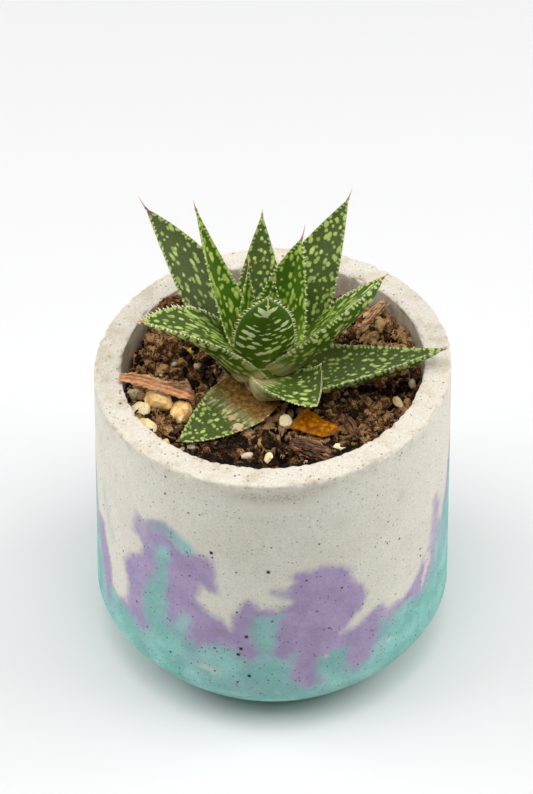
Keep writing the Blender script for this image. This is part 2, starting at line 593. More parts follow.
faint = concrete.dots(at, 0.58, 0.19, 0.6)
specks = concrete.dots(at, 1.0, 0.30, 0.55)
pinholes = concrete.dots(at, 2.9, 0.46, 0.5)
brown_specks = concrete.dots(at, 1.15, 0.42, 0.45) * top.most(inside * 0.8)
pit = concrete.attribute("pit").rise(0.30, 0.62)
wall = concrete.mix(faint * 0.45, wall, (0.30, 0.22, 0.16))
wall = concrete.mix(specks * (0.55 + coloured * 0.35), wall, SPECK)
wall = concrete.mix(brown_specks * 0.75, wall, (0.33, 0.20, 0.09))
wall = concrete.mix(pinholes * 0.85, wall, (0.07, 0.055, 0.045))
wall = concrete.mix(pit, wall, (0.03, 0.024, 0.02))
sandy = 0.97 + (sand - 0.5) * (0.62 + top * 0.08) + (feather - 0.5) * 0.16
tone = concrete.node("CombineColor", None, {0: sandy, 1: sandy, 2: sandy})
wall = concrete.node("Mix", {"data_type": "RGBA", "blend_type": "MULTIPLY"}, {0: 1.0, 6: wall, 7: tone}, 2)
concrete.feed("Base Color", wall)
concrete.feed("Roughness", 0.72 + (sand - 0.5) * 0.3)
concrete.bump(sand * 0.5 - pinholes * 1.5 - specks * 0.7, 0.12)


def dress(piece, finish, node=None):
    """Give a finished piece its material, its body and the solid that it replaces, if any."""
    piece.data.materials.append(finish.material)
    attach(piece, "root")
    if node:
        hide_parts(node)


dress(pot, concrete, "pot")

# The compost. A loose fill of dark bark crumbs with hollows between them, heaped against the wall
# at the right and at the left behind the plant. Its larger crumbs are where the solid has them,
# and finer ones lie over those. Its top is first worked out as heights over square cells.
SOIL_LEVEL = 76.4
SOIL_RADIUS = CAVITY_RADIUS - 0.3
HOLLOW_DEPTH = 2.2
CRUMB_COUNT = 520
CRUMB_RADIUS = (1.3, 3.6)
CRUMB_SEED = 9
MOUNDS = (                   # x, y, radius, height
    (32.0, 13.0, 8.0, 6.5),
    (24.0, 25.0, 9.0, 5.5),
    (-27.0, 22.0, 8.0, 5.0),
    (-28.0, 13.0, 5.0, 2.0),
    (-3.0, 12.0, 14.0, 2.5),
    (0.0, -27.0, 12.0, 1.0),
)
FINE_CRUMBS = ((1.0, 2.0, 700), (0.35, 0.8, 5200))        # least and greatest radius, and how many
CELL = 0.2
CELLS = 384
SOIL_GRID = 260


def mound_level(x, y):
    level = SOIL_LEVEL
    for mx, my, radius, height in MOUNDS:
        level = level + height * np.exp(-((x - mx) ** 2 + (y - my) ** 2) / radius ** 2)
    return level


cell_places = (np.arange(CELLS) - (CELLS - 1) / 2) * CELL
cell_x, cell_y = np.meshgrid(cell_places, cell_places, indexing="ij")


def patches(size, seed):
    """Smooth noise from -1 to 1 over the cells, with patches about size across."""
    knots = np.random.default_rng(seed).uniform(-1, 1, (3 + int(CELLS * CELL / size),) * 2)
    place = (cell_places - cell_places[0]) / size
    low = place.astype(int)
    share = place - low
    share = share * share * (3 - 2 * share)
    rows = knots[low] * (1 - share)[:, None] + knots[low + 1] * share[:, None]
    return rows[:, low] * (1 - share)[None, :] + rows[:, low + 1] * share[None, :]


def cell_of(place):
    """The number of the cell at a place along x or y."""
    return min(max(int(round((place - cell_places[0]) / CELL)), 0), CELLS - 1)


def soil_at(x, y):
    """Height of the compost's top at a place."""
    return float(soil_level[cell_of(x), cell_of(y)])


def smoothed(level, reach):
    """The mean of the cells within reach of each cell."""
    for axis in (0, 1):
        level = sum(np.roll(level, step, axis) for step in range(-reach, reach + 1)) / (2 * reach + 1)
    return level


def scattered(draw, radius):
    """A random place on the compost, within radius of the pot's axis."""
    reach = radius * math.sqrt(draw.random())
    angle = draw.uniform(0, 2 * math.pi)
    return reach * math.cos(angle), reach * math.sin(angle)


def stamp(x, y, bottom, size, stretch, turn, shade):
    """Let a rough crumb stand out of the bed, and give its cells their shade."""
    reach = int(size * max(stretch, 1) * 1.5 / CELL) + 1
    i, j = cell_of(x), cell_of(y)
    patch = (slice(max(i - reach, 0), min(i + reach + 1, CELLS)),
             slice(max(j - reach, 0), min(j + reach + 1, CELLS)))
    dx, dy = cell_x[patch] - x, cell_y[patch] - y
    along = (dx * math.cos(turn) + dy * math.sin(turn)) / stretch
    aside = -dx * math.sin(turn) + dy * math.cos(turn)
    away = np.hypot(along, aside) * (1 + 0.35 * jagged[patch])
    inside = size ** 2 - away ** 2
    top = np.where(inside > 0, bottom + np.sqrt(np.maximum(inside, 0)), -np.inf)
    higher = top > soil_level[patch]
    soil_level[patch] = np.where(higher, top, soil_level[patch])
    soil_tone[patch] = np.where(higher, shade, soil_tone[patch])


soil_level = mound_level(cell_x, cell_y) - HOLLOW_DEPTH
soil_tone = np.full(soil_level.shape, 0.1)
jagged = 0.6 * patches(1.7, 1) + 0.4 * patches(0.8, 2)
draw = random.Random(CRUMB_SEED)
shades = random.Random(21)
for _ in range(CRUMB_COUNT):
    x, y = scattered(draw, SOIL_RADIUS)
    size = CRUMB_RADIUS[0] + (CRUMB_RADIUS[1] - CRUMB_RADIUS[0]) * draw.random() ** 2
    stamp(x, y, mound_level(x, y) - 0.5 * size, size, 1.0, 0.0, shades.uniform(0.15, 0.75))
soil_level += 0.5 * patches(1.1, 3) + 0.5 * patches(2.4, 8)

# The low leaf and the yellow leaf press the compost down: start, end, half widths, clear of middle.
PRESSED = (
    ((-4.0, -3.9, 81.6), (-23.5, -22.6, 80.8), 9.4, 0.5, 3.4),
    ((6.0, -13.4, 79.8), (15.2, -18.4, 79.6), 4.6, 3.6, 0.6),
)


def pressed_to(x, y):
    """The highest that the compost may be at a place, and how far inside a pressed place it is."""
    limit, inside = np.inf + 0 * x, FAR_OUTSIDE + 0 * x
    for (ax, ay, az), (bx, by, bz), wide_start, wide_end, drop in PRESSED:
        run, climb = bx - ax, by - ay
        length = math.hypot(run, climb)
        share = np.clip(((x - ax) * run + (y - ay) * climb) / length ** 2, 0, 1)
        aside = np.hypot(x - ax - share * run, y - ay - share * climb)
        half = wide_start + (wide_end - wide_start) * share ** 1.7 + 0.3
        under = az + (bz - az) * share - 0.6 - drop * np.clip(1 - (aside / half) ** 2, 0, 1)
        limit = np.where(aside < half, np.minimum(limit, under), limit)
        inside = np.maximum(inside, half - aside)
    return limit, inside


# Stones and bark sit in dents of their own: x, y, radius and the level of the dent.
DENTS = (
    (-28.6, -6.6, 3.4, 79.2), (-33.0, -8.9, 2.8, 77.8), (-31.0, -14.8, 3.4, 77.0), (-22.9, -9.9, 3.6, 77.8),
    (-35.2, -2.4, 2.0, 77.8), (-27.0, -20.6, 2.6, 77.6), (3.4, -13.6, 2.1, 78.6), (16.7, -22.6, 2.0, 78.4),
    (-0.8, -26.6, 2.0, 78.0), (35.4, 0.2, 1.6, 78.8), (31.6, -6.4, 2.0, 78.6), (7.0, -23.4, 2.6, 78.8),
    (10.6, -25.0, 2.6, 78.6), (13.6, -26.0, 2.0, 78.4), (20.4, -17.2, 1.4, 79.2), (18.8, -14.0, 1.4, 79.2),
)


def shade_shift(x, y):
    """How much lighter the crumbs are on the mounds, and darker in the damp front."""
    light_mound = 0.26 * np.clip((mound_level(x, y) - SOIL_LEVEL - 1.5) / 3, 0, 1)
    return light_mound - 0.48 * np.clip((-16 - y) / 7, 0, 1)


for size_low, size_high, count in FINE_CRUMBS:
    for _ in range(count):
        x, y = scattered(draw, SOIL_RADIUS)
        size = draw.uniform(size_low, size_high)
        level = float(mound_level(x, y))
        if soil_at(x, y) < level - 0.7 and draw.random() < 0.8:
            continue
        bottom = min(soil_at(x, y), level + 1.2) - draw.uniform(0.2, 0.6) * size
        stretch, turn = draw.choice((1.0, 1.0, 1.4, 2.2)), draw.uniform(0, math.pi)
        stamp(x, y, bottom, size, stretch, turn, shades.uniform(0.0, 1.0))
soil_level += 0.12 * patches(0.45, 5)
soil_level = np.minimum(soil_level, pressed_to(cell_x, cell_y)[0])
for x, y, dent_radius, level in DENTS:
    away = np.hypot(cell_x - x, cell_y - y)
    soil_level = np.where(away < dent_radius, np.minimum(soil_level, level + 0.25 * away), soil_level)

# A square grid is pulled to a disc, its points are lifted to those heights, and its edge is
# extruded down to the pot's floor.
compost = added("compost", bpy.ops.mesh.primitive_grid_add, x_subdivisions=SOIL_GRID,
                y_subdivisions=SOIL_GRID, size=2 * MM)
square = points_of(compost)
u, v = square[:, 0], square[:, 1]
wide = np.abs(u) >= np.abs(v)
first, second = np.where(wide, u, v), np.where(wide, v, u)
turn = math.pi / 4 * second / np.where(first == 0, 1, first)
turn = np.where(wide, turn, math.pi / 2 - turn)
disc_x = SOIL_RADIUS * first * np.cos(turn)
disc_y = SOIL_RADIUS * first * np.sin(turn)
place_i = np.clip((disc_x - cell_places[0]) / CELL, 0, CELLS - 1.01)
place_j = np.clip((disc_y - cell_places[0]) / CELL, 0, CELLS - 1.01)
i, j = place_i.astype(int), place_j.astype(int)
si, sj = place_i - i, place_j - j
height = ((soil_level[i, j] * (1 - si) + soil_level[i + 1, j] * si) * (1 - sj)
          + (soil_level[i, j + 1] * (1 - si) + soil_level[i + 1, j + 1] * si) * sj)
move_points(compost, np.stack([disc_x, disc_y, height], 1))
add_attribute(compost, "tone", soil_tone[i, j] + shade_shift(disc_x, disc_y))
add_attribute(compost, "hollow", height - mound_level(disc_x, disc_y))
add_attribute(compost, "gap", (smoothed(soil_level, 6) - soil_level)[i, j])
add_attribute(compost, "crevice", (smoothed(soil_level, 2) - soil_level)[i, j])
bpy.ops.object.mode_set(mode="EDIT")
bpy.ops.mesh.select_all(action="SELECT")
bpy.ops.mesh.region_to_loop()
bpy.ops.mesh.extrude_region_move(TRANSFORM_OT_translate={"value": (0, 0, -0.01)})
bpy.ops.transform.resize(value=(1, 1, 0), center_override=(0, 0, (FLOOR_THICKNESS + 0.3) * MM))
bpy.ops.mesh.edge_face_add()
bpy.ops.mesh.select_all(action="SELECT")
bpy.ops.mesh.normals_make_consistent(inside=False)
bpy.ops.object.mode_set(mode="OBJECT")
bpy.ops.object.shade_smooth()

HUMUS = ((0.0, (0.010, 0.005, 0.002)), (0.22, (0.040, 0.016, 0.005)), (0.45, (0.13, 0.052, 0.017)),
         (0.66, (0.27, 0.122, 0.040)), (0.86, (0.47, 0.25, 0.088)), (1.0, (0.74, 0.45, 0.20)))

# Bark and peat: a brown for each crumb, with fine dark and rusty grain in it.
humus = Finish("compost_bark", {"Specular IOR Level": 0.2})
at = humus.place()
fine = humus.mottle(at, 0.4, 4.0, 0.8)
broad = humus.mottle(at, 1.6, 3.0)
tone = humus.attribute("tone") * 1.25 + (fine - 0.5) * 2.7 + (broad - 0.5) * 1.9 - 0.11
tone = tone + humus.attribute("hollow").least(1.5) * 0.16
tone = tone - humus.attribute("crevice") * 2.0
brown = humus.ramp(tone, HUMUS)
rust = humus.mottle(at, 2.6, 2.0).rise(0.55, 0.75) * 0.35
brown = humus.mix(rust, brown, (0.25, 0.075, 0.018))
brown = humus.mix(humus.attribute("gap").rise(0.0, 0.55), brown, (0.008, 0.004, 0.002))
humus.feed("Base Color", brown)
humus.feed("Roughness", 0.75 + (fine - 0.5) * 0.4)
humus.bump(fine + broad * 0.8, 0.9)
dress(compost, humus, "soil")


def copies(name, template, placements, tones):
    """One object of many copies of a small mesh, each with its own matrix in millimetres."""
    corners = points_of(template)
    faces = [list(face.vertices) for face in template.data.polygons]
    points, polygons, tone = [], [], []
    for matrix, shade in zip(placements, tones):
        turn = np.array(matrix.to_3x3())
        start = len(points) * len(corners)
        points.append(corners @ turn.T + np.array(matrix.translation))
        polygons += [[start + corner for corner in face] for face in faces]
        tone.append(np.full(len(corners), shade))
    mesh = bpy.data.meshes.new(name)
    mesh.from_pydata((np.concatenate(points) * MM).tolist(), [], polygons)
    obj = bpy.data.objects.new(name, mesh)
    bpy.context.scene.collection.objects.link(obj)
    add_attribute(obj, "tone", np.concatenate(tone))
    return obj


def placed(centre, turns, scale):
    """A matrix that scales, turns about X, Y and Z in degrees, then moves to centre."""
    turn = in_degrees(turns).to_matrix().to_4x4()
    return Matrix.Translation(centre) @ turn @ Matrix.Diagonal((*scale, 1.0))


def cut_cube(name, size, cuts):
    """A cube whose faces are cut into smaller ones, left in edit mode with all of it selected."""
    cube = added(name, bpy.ops.mesh.primitive_cube_add, size=size * MM)
    bpy.ops.object.mode_set(mode="EDIT")
    bpy.ops.mesh.select_all(action="SELECT")
    bpy.ops.mesh.subdivide(number_cuts=cuts)
    return cube


def rough_ball(name, roughness, seed):
    """A ball one millimetre in radius whose points are pushed in and out."""
    ball = added(name, bpy.ops.mesh.primitive_ico_sphere_add, subdivisions=3, radius=MM)
    points = points_of(ball)
    points *= (1 + roughness * rough(points, 0.8, seed))[:, None]
    move_points(ball, points)
    return ball


# Loose crumbs that lie on the compost, in a few shapes. They are the grain of its surface.
CRUMB_PATTERNS = 4
LOOSE_CRUMBS = 640           # of each pattern
CRUMB_ROUNDNESS = 0.75       # from a cube at 0 to a ball at 1

for number in range(1, CRUMB_PATTERNS + 1):
    template = cut_cube("crumb_pattern", 1.6, 1)
    bpy.ops.transform.tosphere(value=CRUMB_ROUNDNESS)
    bpy.ops.object.mode_set(mode="OBJECT")
    points = points_of(template)
    move_points(template, points * (1 + 0.9 * rough(points, 0.9, 3.1 * number))[:, None])
    placements, tones = [], []
    for _ in range(LOOSE_CRUMBS):
        x, y = scattered(draw, SOIL_RADIUS - 1.0)
        if pressed_to(x, y)[1] > -0.9 or soil_at(x, y) < mound_level(x, y) - 0.6:
            continue
        size = 0.35 + 1.15 * draw.random() ** 2.2
        scale = [size * draw.uniform(0.6, 1.3) for _ in range(3)]
        turns = [draw.uniform(0, 360) for _ in range(3)]
        placements.append(placed((x, y, soil_at(x, y) + 0.25 * size), turns, scale))
        tones.append(shades.uniform(0.0, 0.95) + shade_shift(x, y))
    crumbs = copies(f"compost_crumbs_{number}", template, placements, tones)
    bpy.data.objects.remove(template)
    dress(crumbs, humus)

# Shreds of bark fibre, bent strips that lie at all angles among the crumbs.
SHREDS = 120

template = cut_cube("shred_pattern", 1.0, 2)
bpy.ops.object.mode_set(mode="OBJECT")
shape = points_of(template)
taper = 1 - 0.6 * np.abs(2 * shape[:, 0]) ** 2
shape[:, 1] = shape[:, 1] * taper + 0.30 * np.sin(2.4 * shape[:, 0])
shape[:, 2] = shape[:, 2] * taper + 0.9 * shape[:, 0] ** 2
move_points(template, shape)
placements, tones = [], []
for _ in range(SHREDS):
    x, y = scattered(draw, SOIL_RADIUS - 4.0)
    length = draw.uniform(2.0, 6.5)
    if pressed_to(x, y)[1] > -0.5 * length:
        continue
    scale = (length, draw.uniform(0.35, 1.0), draw.uniform(0.25, 0.5))
    turns = (draw.uniform(-30, 30), draw.uniform(-28, 28), draw.uniform(0, 360))
    placements.append(placed((x, y, soil_at(x, y) + 0.5), turns, scale))
    tones.append(shades.uniform(0.3, 1.0) + shade_shift(x, y))
shreds = copies("compost_shreds", template, placements, tones)
bpy.data.objects.remove(template)
dress(shreds, humus)

# Pale grains of grit and pumice in the compost: those that show, and a few more strewn at random.
STREWN_GRAINS = 46
GRAINS = (                   # x, y, half sizes, turn about Z, shade
    (-21.1, 11.6, (1.5, 1.0, 0.9), 20, 1.0), (-19.3, 11.2, (0.9, 0.7, 0.6), 60, 1.0),
    (-25.2, 7.8, (0.8, 0.7, 0.6), 0, 0.3), (-19.0, 7.4, (1.2, 1.1, 1.0), 0, 0.5),
    (-14.4, 3.0, (0.5, 0.45, 2.2), 0, 0.6), (18.3, -4.1, (1.4, 0.6, 0.6), -15, -0.1),
    (23.4, -15.0, (1.9, 1.1, 0.9), 10, 0.1), (33.6, -0.8, (0.4, 0.4, 0.4), 0, -0.1),
    (33.8, -5.5, (1.0, 0.9, 0.9), 0, 0.72), (-33.2, -4.1, (1.2, 1.0, 1.0), 0, 0.66),
    (-20.2, -21.4, (1.1, 0.7, 0.6), -20, 0.1), (-22.6, -21.6, (1.0, 0.7, 0.6), 30, 0.3),
    (-6.3, -26.0, (1.5, 0.9, 0.9), 5, 0.3), (-9.2, -25.2, (0.6, 0.45, 0.4), 0, 0.0),
    (14.1, -13.9, (0.5, 0.5, 0.5), 0, 0.3), (8.0, -28.0, (0.7, 0.5, 0.5), 0, 0.5),
    (-13.0, -27.0, (0.9, 0.6, 0.6), 40, 0.4), (-31.5, 1.5, (0.7, 0.6, 0.5), 0, 0.55),
    (22.0, 16.0, (0.7, 0.5, 0.5), 70, 0.6), (12.6, -10.2, (0.5, 0.5, 0.4), 0, 0.2),
)
template = rough_ball("grain_pattern", 0.25, 5.0)
placements, tones = [], []
for x, y, size, turn, shade in GRAINS:
    placements.append(placed((x, y, soil_at(x, y) + 0.5 * size[2]), (8, -6, turn), size))
    tones.append(shade)
for _ in range(STREWN_GRAINS):
    x, y = scattered(draw, SOIL_RADIUS - 2.0)
    size = draw.uniform(0.25, 0.55)
    if pressed_to(x, y)[1] > -0.5:
        continue
    placements.append(placed((x, y, soil_at(x, y) + 0.5 * size), [draw.uniform(0, 360)] * 3, [size] * 3))
    tones.append(draw.uniform(0.2, 0.8))
grains = copies("compost_grains", template, placements, tones)
bpy.data.objects.remove(template)
grit = Finish("pale_grit", {"Roughness": 0.85, "Specular IOR Level": 0.3})
at = grit.place()
grain = grit.mottle(at, 0.5, 3.0)
paint = grit.ramp(grit.attribute("tone") + (grain - 0.5) * 0.4,
                  ((0.0, (0.74, 0.70, 0.60)), (0.4, (0.62, 0.49, 0.31)), (0.75, (0.50, 0.27, 0.13)),
                   (1.0, (0.80, 0.46, 0.08))))
grit.feed("Base Color", paint)
grit.bump(grain, 0.2)
dress(grains, grit)

# The stem. A short woody stump, ringed by the dried bases of leaves that have been shed. It stands
# in the compost, and the leaves close round it so that little of it shows.
STEM_CENTRE = (-1.8, 0.4)
STEM_RADII = ((4.6, 72.0), (5.6, 80.0), (4.6, 87.0), (2.6, 90.5))

stem_heights = np.arange(STEM_RADII[0][1], STEM_RADII[-1][1] + 0.1, 0.5)
stem_widths = np.interp(stem_heights, [h for _, h in STEM_RADII], [r for r, _ in STEM_RADII])
stem_profile = [(0.0, stem_heights[0]), *zip(stem_widths, stem_heights), (0.0, stem_heights[-1])]
stem = turned_piece("stem_stump", stem_profile, 60)
points = points_of(stem)
ringed = 0.22 * np.sin(points[:, 2] * 2.6 + 1.5 * rough(points, 6.0, 1.0)) + 0.25 * rough(points, 1.5, 2.0)
width = np.hypot(points[:, 0], points[:, 1])
points[:, :2] *= (1 + np.where(width > 1, ringed / np.maximum(width, 1), 0))[:, None]
points[:, :2] += STEM_CENTRE
move_points(stem, points)
stump = Finish("stem_bark", {"Roughness": 0.8})
at = stump.place()
fibre = stump.mottle(stump.stretched(at, (1.0, 1.0, 0.35)), 0.8, 4.0)
stump.feed("Base Color", stump.ramp(fibre, ((0.3, (0.13, 0.08, 0.035)), (0.5, (0.30, 0.20, 0.09)),
                                            (0.7, (0.46, 0.36, 0.17)))))
stump.bump(fibre, 0.3)
dress(stem, stump, "stem")

# The leaves. Fleshy keeled blades, hollow above, in a loose spiral round the stem. The skin is waxy
# green with pale raised spots, the margins have small white horny teeth, and each blade ends in a
# thin brown point. Leaf 12 was cut short and has healed, and leaf 13 is drying out from its base.
MIN_HALF_WIDTH = 0.3
CHANNEL = 0.13
TIP_DEPTH = 0.35
SHEATH_WIDTH = 0.8
SHEATH_LENGTH = 0.25
KEEL_ROUND = (1.35, 0.62)    # exponents of the keel's curve across the blade
LEAF_STEP = 0.33             # spacing of a blade's points
SPINE_STATIONS = 7
SPINE_RADIUS = (0.215, 0.025)                # at its foot and at its point
SPINE_LIFT = 0.9             # how much further up a spine points than the blade it ends
BEAD_PERIOD = 1.35           # spacing of the pale beads inside the margin
BEAD_INSET = (0.36, 0.22)    # how far they lie inside it, on the upper and the lower face
TOOTHLESS_BASE = 0.18        # share of the length, from the root, that has no teeth
NO_SPOT = -9.0               # stands for a place that no spot is near

Leaf = namedtuple("Leaf", "root bend tip half_width depth roll_root roll_tip taper spine blunt waist look")
# vivid: 0 grey green to 1 bright green. spots: spacing, half length, half width and the share kept.
# teeth: spacing and height. beads: strength of the pale line inside the margin. fold: how much
# deeper the hollow is than plain. sere: share of the length, from the root, that is dry.
# dry_tip: length of the browned tip.
Look = namedtuple("Look", "vivid spots teeth beads fold sere dry_tip")

LEAVES = {
    "leaf_07": Leaf((0.0, 1.0, 90.0), (0.0, 3.5, 100.0), (0.5, 5.0, 109.5),
                    3.8, 2.2, 0, 0, 1.6, 1.5, 0, 1.0,
                    Look(0.95, (1.2, 0.8, 0.32, 0.8), (1.5, 0.32), 0.5, 0.15, 0.0, 0.4)),
    "leaf_06": Leaf((-3.8, 1.1, 90.0), (-7.0, 1.5, 98.5), (-5.8, 5.3, 113.5),
                    4.2, 2.2, 2, 0, 1.6, 2.0, 0, 1.0,
                    Look(1.0, (1.2, 0.9, 0.32, 0.8), (1.6, 0.32), 0.5, 0.15, 0.0, 0.5)),
    "leaf_05": Leaf((0.2, 1.2, 89.0), (3.2, 8.4, 105.5), (7.3, 13.7, 116.2),
                    8.4, 3.0, 3, -6, 1.6, 4.0, 0, 1.0,
                    Look(0.75, (1.3, 0.8, 0.45, 0.85), (1.3, 0.65), 0.8, 0.28, 0.0, 1.1)),
    "leaf_08": Leaf((-2.1, -0.9, 85.0), (-2.1, -2.8, 106.0), (-1.0, -10.3, 117.8),
                    7.7, 3.5, 0, 0, 4.0, 1.2, 0, 1.8,
                    Look(0.5, (1.7, 0.55, 1.0, 0.88), (1.25, 1.1), 0.2, 0.0, 0.0, 0.4)),
    "leaf_02": Leaf((-4.0, 1.0, 88.0), (-11.0, 5.0, 101.0), (-18.8, 14.2, 125.0),
                    6.3, 3.0, -4, 4, 1.6, 2.76, 0, 1.0,
                    Look(0.72, (1.3, 0.95, 0.46, 0.9), (1.7, 0.5), 0.7, 0.2, 0.0, 1.0)),
    "leaf_09": Leaf((-0.2, 1.3, 88.4), (16.8, 1.1, 104.4), (27.3, 4.6, 111.3),
                    9.3, 5.8, 27, 15, 1.85, 2.2, 0, 1.0,
                    Look(0.5, (1.3, 0.9, 0.52, 0.92), (1.25, 0.85), 1.0, 0.0, 0.12, 0.7)),
    "leaf_03": Leaf((-3.3, 5.0, 85.0), (-3.3, 15.0, 99.5), (-2.6, 28.0, 112.3),
                    8.4, 3.0, 0, 0, 1.6, 1.4, 0, 1.0,
                    Look(0.15, (1.35, 0.55, 0.42, 0.85), (1.9, 0.45), 0.4, 0.0, 0.0, 0.8)),
    "leaf_04": Leaf((-0.5, 4.7, 85.7), (9.0, 13.2, 103.7), (19.0, 26.2, 118.7),
                    12.0, 3.6, -6, -8, 1.6, 3.2, 0, 1.0,
                    Look(0.25, (1.35, 0.75, 0.52, 0.9), (1.8, 0.5), 0.5, 0.0, 0.0, 0.8)),
    "leaf_11": Leaf((-3.6, 0.3, 86.6), (-14.6, 1.3, 102.8), (-32.5, -9.0, 108.4),
                    9.7, 6.0, -12, 8, 2.2, 1.0, 0, 1.0,
                    Look(0.32, (1.35, 1.05, 0.5, 0.94), (1.2, 1.05), 1.0, 0.0, 0.10, 2.4)),
    "leaf_10": Leaf((3.0, -0.1, 84.2), (22.3, -4.3, 90.3), (43.0, -3.1, 94.6),
                    9.7, 6.0, -2, 11, 1.7, 1.0, 0, 1.0,
                    Look(0.1, (1.45, 0.6, 0.42, 0.82), (2.2, 0.4), 1.0, 0.0, 0.09, 0.7)),
    "leaf_01": Leaf((-5.3, 3.3, 84.3), (-18.7, 17.2, 103.5), (-31.9, 26.6, 115.3),
                    10.7, 3.5, -6, 13, 1.6, 4.0, 0, 1.0,
                    Look(0.05, (1.55, 0.85, 0.42, 0.82), (1.7, 0.55), 0.8, 0.0, 0.0, 3.6)),
    "leaf_12": Leaf((-4.7, -3.7, 87.2), (6.8, -10.3, 87.4), (11.5, -12.3, 90.5),
                    6.7, 2.8, 35, -32, 1.6, 0, 0.85, 1.0,
                    Look(0.22, (1.25, 0.8, 0.42, 0.92), (1.3, 0.4), 0.8, 0.05, 0.36, 0)),
    "leaf_13": Leaf((-4.0, -3.9, 81.6), (-14.0, -15.3, 81.0), (-22.6, -21.9, 80.8),
                    9.4, 2.4, 2, 6, 1.7, 0, 0.08, 1.0,
                    Look(0.05, (1.4, 0.6, 0.42, 0.88), (2.6, 0.3), 0.8, 0.0, 0.52, 0)),
}


def leaf_frames(leaf, shares):
    """Points of the centre line, with its direction, upward side and left side at each."""
    root, bend, tip = (np.array(point, float) for point in (leaf.root, leaf.bend, leaf.tip))
    t = shares[:, None]
    points = (1 - t) ** 2 * root + 2 * t * (1 - t) * bend + t ** 2 * tip
    along = 2 * (1 - t) * (bend - root) + 2 * t * (tip - bend)
    along /= np.linalg.norm(along, axis=1)[:, None]
    chord = (tip - root) / np.linalg.norm(tip - root)
    level = np.hypot(chord[0], chord[1])
    inward = np.array([-chord[0] / level * chord[2], -chord[1] / level * chord[2], level])
    up = inward - (along @ inward)[:, None] * along
    up /= np.linalg.norm(up, axis=1)[:, None]
    left = np.cross(up, along)
    roll = np.radians(leaf.roll_root + (leaf.roll_tip - leaf.roll_root) * t)
    return (points, along, up * np.cos(roll) + left * np.sin(roll),
            left * np.cos(roll) - up * np.sin(roll))


def half_widths(leaf, t):
    narrowing = (1 - t ** leaf.taper) ** leaf.waist * (1 - leaf.blunt) + leaf.blunt
    sheath = SHEATH_WIDTH + (1 - SHEATH_WIDTH) * np.clip(t / SHEATH_LENGTH, 0, 1) ** 0.7
    return np.maximum(leaf.half_width * narrowing * sheath, MIN_HALF_WIDTH)


def wrapped(name, place):
    """A grid pulled into place: rows along the piece, columns once round its section."""
    rows, columns = place.shape[:2]
    piece = added(name, bpy.ops.mesh.primitive_grid_add, x_subdivisions=columns - 1,
                  y_subdivisions=rows - 1, size=MM)
    move_points(piece, place.reshape(-1, 3))
    return piece


def close_up(piece):
    """Merge a wrapped grid's seam, fill its ends and turn its faces outwards."""
    bpy.ops.object.select_all(action="DESELECT")
    piece.select_set(True)
    bpy.context.view_layer.objects.active = piece
    bpy.ops.object.mode_set(mode="EDIT")
    bpy.ops.mesh.select_all(action="SELECT")
    bpy.ops.mesh.remove_doubles(threshold=0.002 * MM)
    bpy.ops.mesh.select_all(action="DESELECT")
    bpy.ops.mesh.select_mode(type="EDGE")
    bpy.ops.mesh.select_non_manifold()
    bpy.ops.mesh.fill_holes(sides=0)
    bpy.ops.mesh.select_mode(type="VERT")
    bpy.ops.mesh.select_all(action="SELECT")
    bpy.ops.mesh.normals_make_consistent(inside=False)
    bpy.ops.object.mode_set(mode="OBJECT")
    bpy.ops.object.shade_smooth()


def leaf_spots(draw, leaf, length):
    """Pale spots on one face: place along and across, half length, half width and strength."""
    spacing, half_long, half_wide, kept = leaf.look.spots
    whiter = 0.35 if leaf.waist > 1 else 0.0
    spots = []
    along = 0.8
    while along < length - 1.0:
        half = float(half_widths(leaf, np.array(along / length)))
        across = -half + draw.uniform(0.3, 0.9) * spacing
        while across < half - 0.3:
            if draw.random() < kept:
                grow = draw.choice((0.45, 0.65, 0.9, 1.15))
                spots.append((along + draw.uniform(-0.6, 0.6) * (spacing + half_long),
                              across + draw.uniform(-0.35, 0.35) * spacing,
                              half_long * grow * draw.uniform(0.7, 1.35),
                              half_wide * (0.4 + 0.6 * grow), draw.uniform(0.5, 1.0) + whiter))
            across += (spacing + 0.6 * half_wide) * draw.uniform(0.7, 1.3)
        along += (spacing * 0.8 + half_long) * draw.uniform(0.8, 1.15)
    return spots


